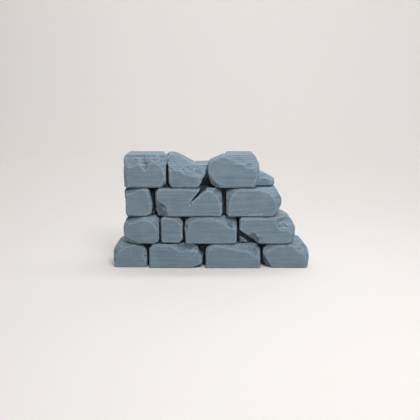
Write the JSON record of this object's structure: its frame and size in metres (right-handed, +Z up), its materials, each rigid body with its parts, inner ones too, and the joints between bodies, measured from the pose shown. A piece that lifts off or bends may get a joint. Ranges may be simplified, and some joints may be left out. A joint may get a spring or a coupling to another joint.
{
  "type": "model dry stone wall",
  "caption": "Tabletop model of a ruined dry stone wall: large worn blocks in level courses, both ends stepping back towards the top, one block cracked.",
  "frame": {"origin": "centre of the base, on the table surface", "axes": "+X along the wall towards its raked-back end, +Y through the wall from the front face to the back face, +Z up"},
  "size_m": [0.096, 0.021, 0.0553],
  "materials": {
    "print": "matt blue-grey print with fine layer lines"
  },
  "bodies": {
    "root": {"hearting": "print", "quoin_1_left": "print", "face_1_2": "print", "face_1_3": "print", "face_1_4": "print", "face_2_1": "print", "through_2_2": "print", "face_2_3": "print", "face_2_4": "print", "quoin_3_left": "print", "face_3_2": "print", "face_3_3": "print", "face_4_1": "print", "face_4_2": "print", "face_4_3": "print", "stub_4_right": "print", "back_1_2": "print", "back_1_3": "print", "back_1_4": "print", "back_1_5": "print", "back_2_1": "print", "back_2_3": "print", "back_2_4": "print", "back_2_5": "print", "back_3_2": "print", "back_3_3": "print", "back_3_4": "print", "back_4_1": "print", "back_4_2": "print", "back_4_3": "print", "back_4_4": "print"}
  },
  "joints": []
}
